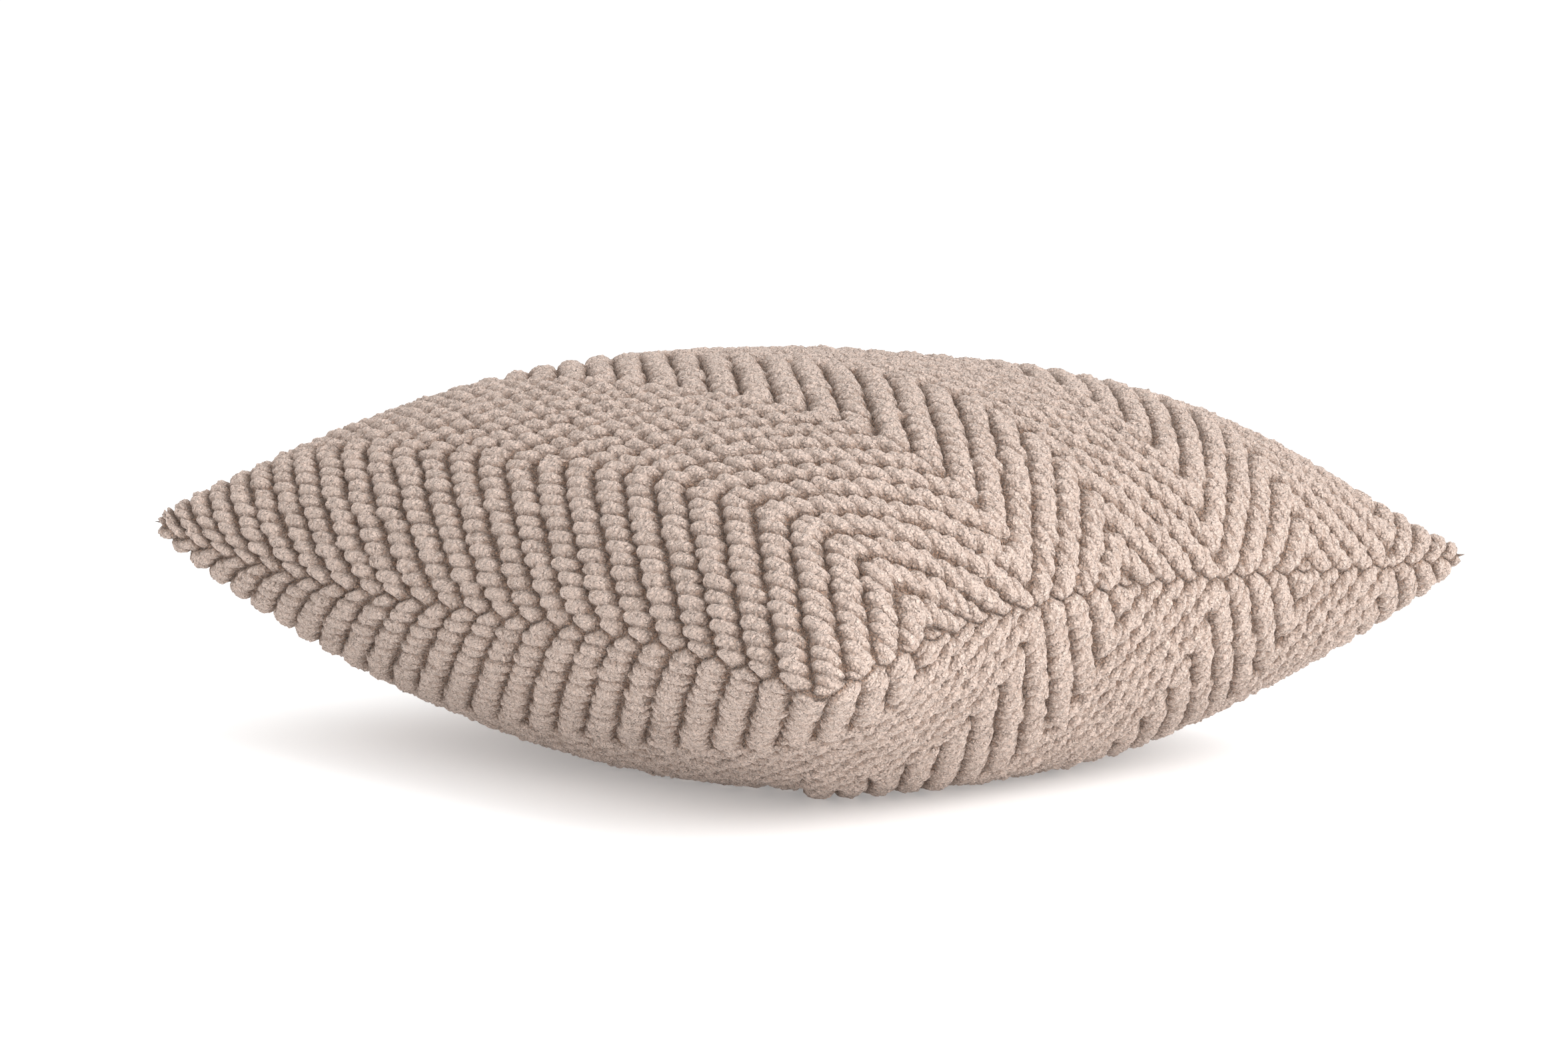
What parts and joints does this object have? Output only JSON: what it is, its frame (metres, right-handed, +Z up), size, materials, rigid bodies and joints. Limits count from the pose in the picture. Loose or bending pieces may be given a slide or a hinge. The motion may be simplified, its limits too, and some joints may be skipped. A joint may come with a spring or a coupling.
{
  "type": "throw pillow",
  "caption": "Plump square throw pillow with a chunky herringbone chenille cover, a rear zip and a removable filled insert.",
  "frame": {"origin": "on the floor, under the middle of the pillow as it lies flat", "axes": "+Z up out of the top panel, +X and +Y along the sides, with the zip on the +Y side"},
  "size_m": [0.44, 0.44, 0.179],
  "materials": {
    "chenille": "dusty pink-beige chenille, chunky herringbone weave, matt pile",
    "sewing_thread": "spun polyester thread, matched to the cloth",
    "zip_tape": "woven polyester tape, matched to the cloth",
    "zip_nylon": "extruded nylon coil, semi-matt",
    "zip_metal": "die-cast and plated, satin",
    "white_cotton": "plain-weave cotton, matt",
    "polyester_fibre": "loose hollow-fibre filling",
    "label_satin": "blank satin ribbon"
  },
  "bodies": {
    "cushion": {"cover_top_panel": "chenille", "cover_bottom_panel": "chenille", "cover_seam_allowance": "sewing_thread", "zip_tape_upper": "zip_tape", "zip_tape_lower": "zip_tape", "zip_coil_upper": "zip_nylon", "zip_coil_lower": "zip_nylon", "zip_stitching_upper": "sewing_thread", "zip_stitching_lower": "sewing_thread", "zip_top_stop_upper": "zip_metal", "zip_top_stop_lower": "zip_metal", "zip_bottom_stop": "zip_metal", "insert_casing_top": "white_cotton", "insert_casing_bottom": "white_cotton", "insert_seam_allowance": "white_cotton", "insert_filling": "polyester_fibre", "care_label": "label_satin"},
    "slider": {"zip_slider": "zip_metal"},
    "pull": {"zip_pull_tab": "zip_metal"}
  },
  "joints": [
    {"name": "zip_slide", "type": "slide", "parent": "cushion", "child": "slider", "axis": [-1, 0, 0], "range_m": [0, 0.293]},
    {"name": "pull_hinge", "type": "hinge", "parent": "slider", "child": "pull", "pos_m": [0.1465, 0.20857, 0.088], "axis": [0, 0, -1], "range_deg": [0, 180]}
  ]
}
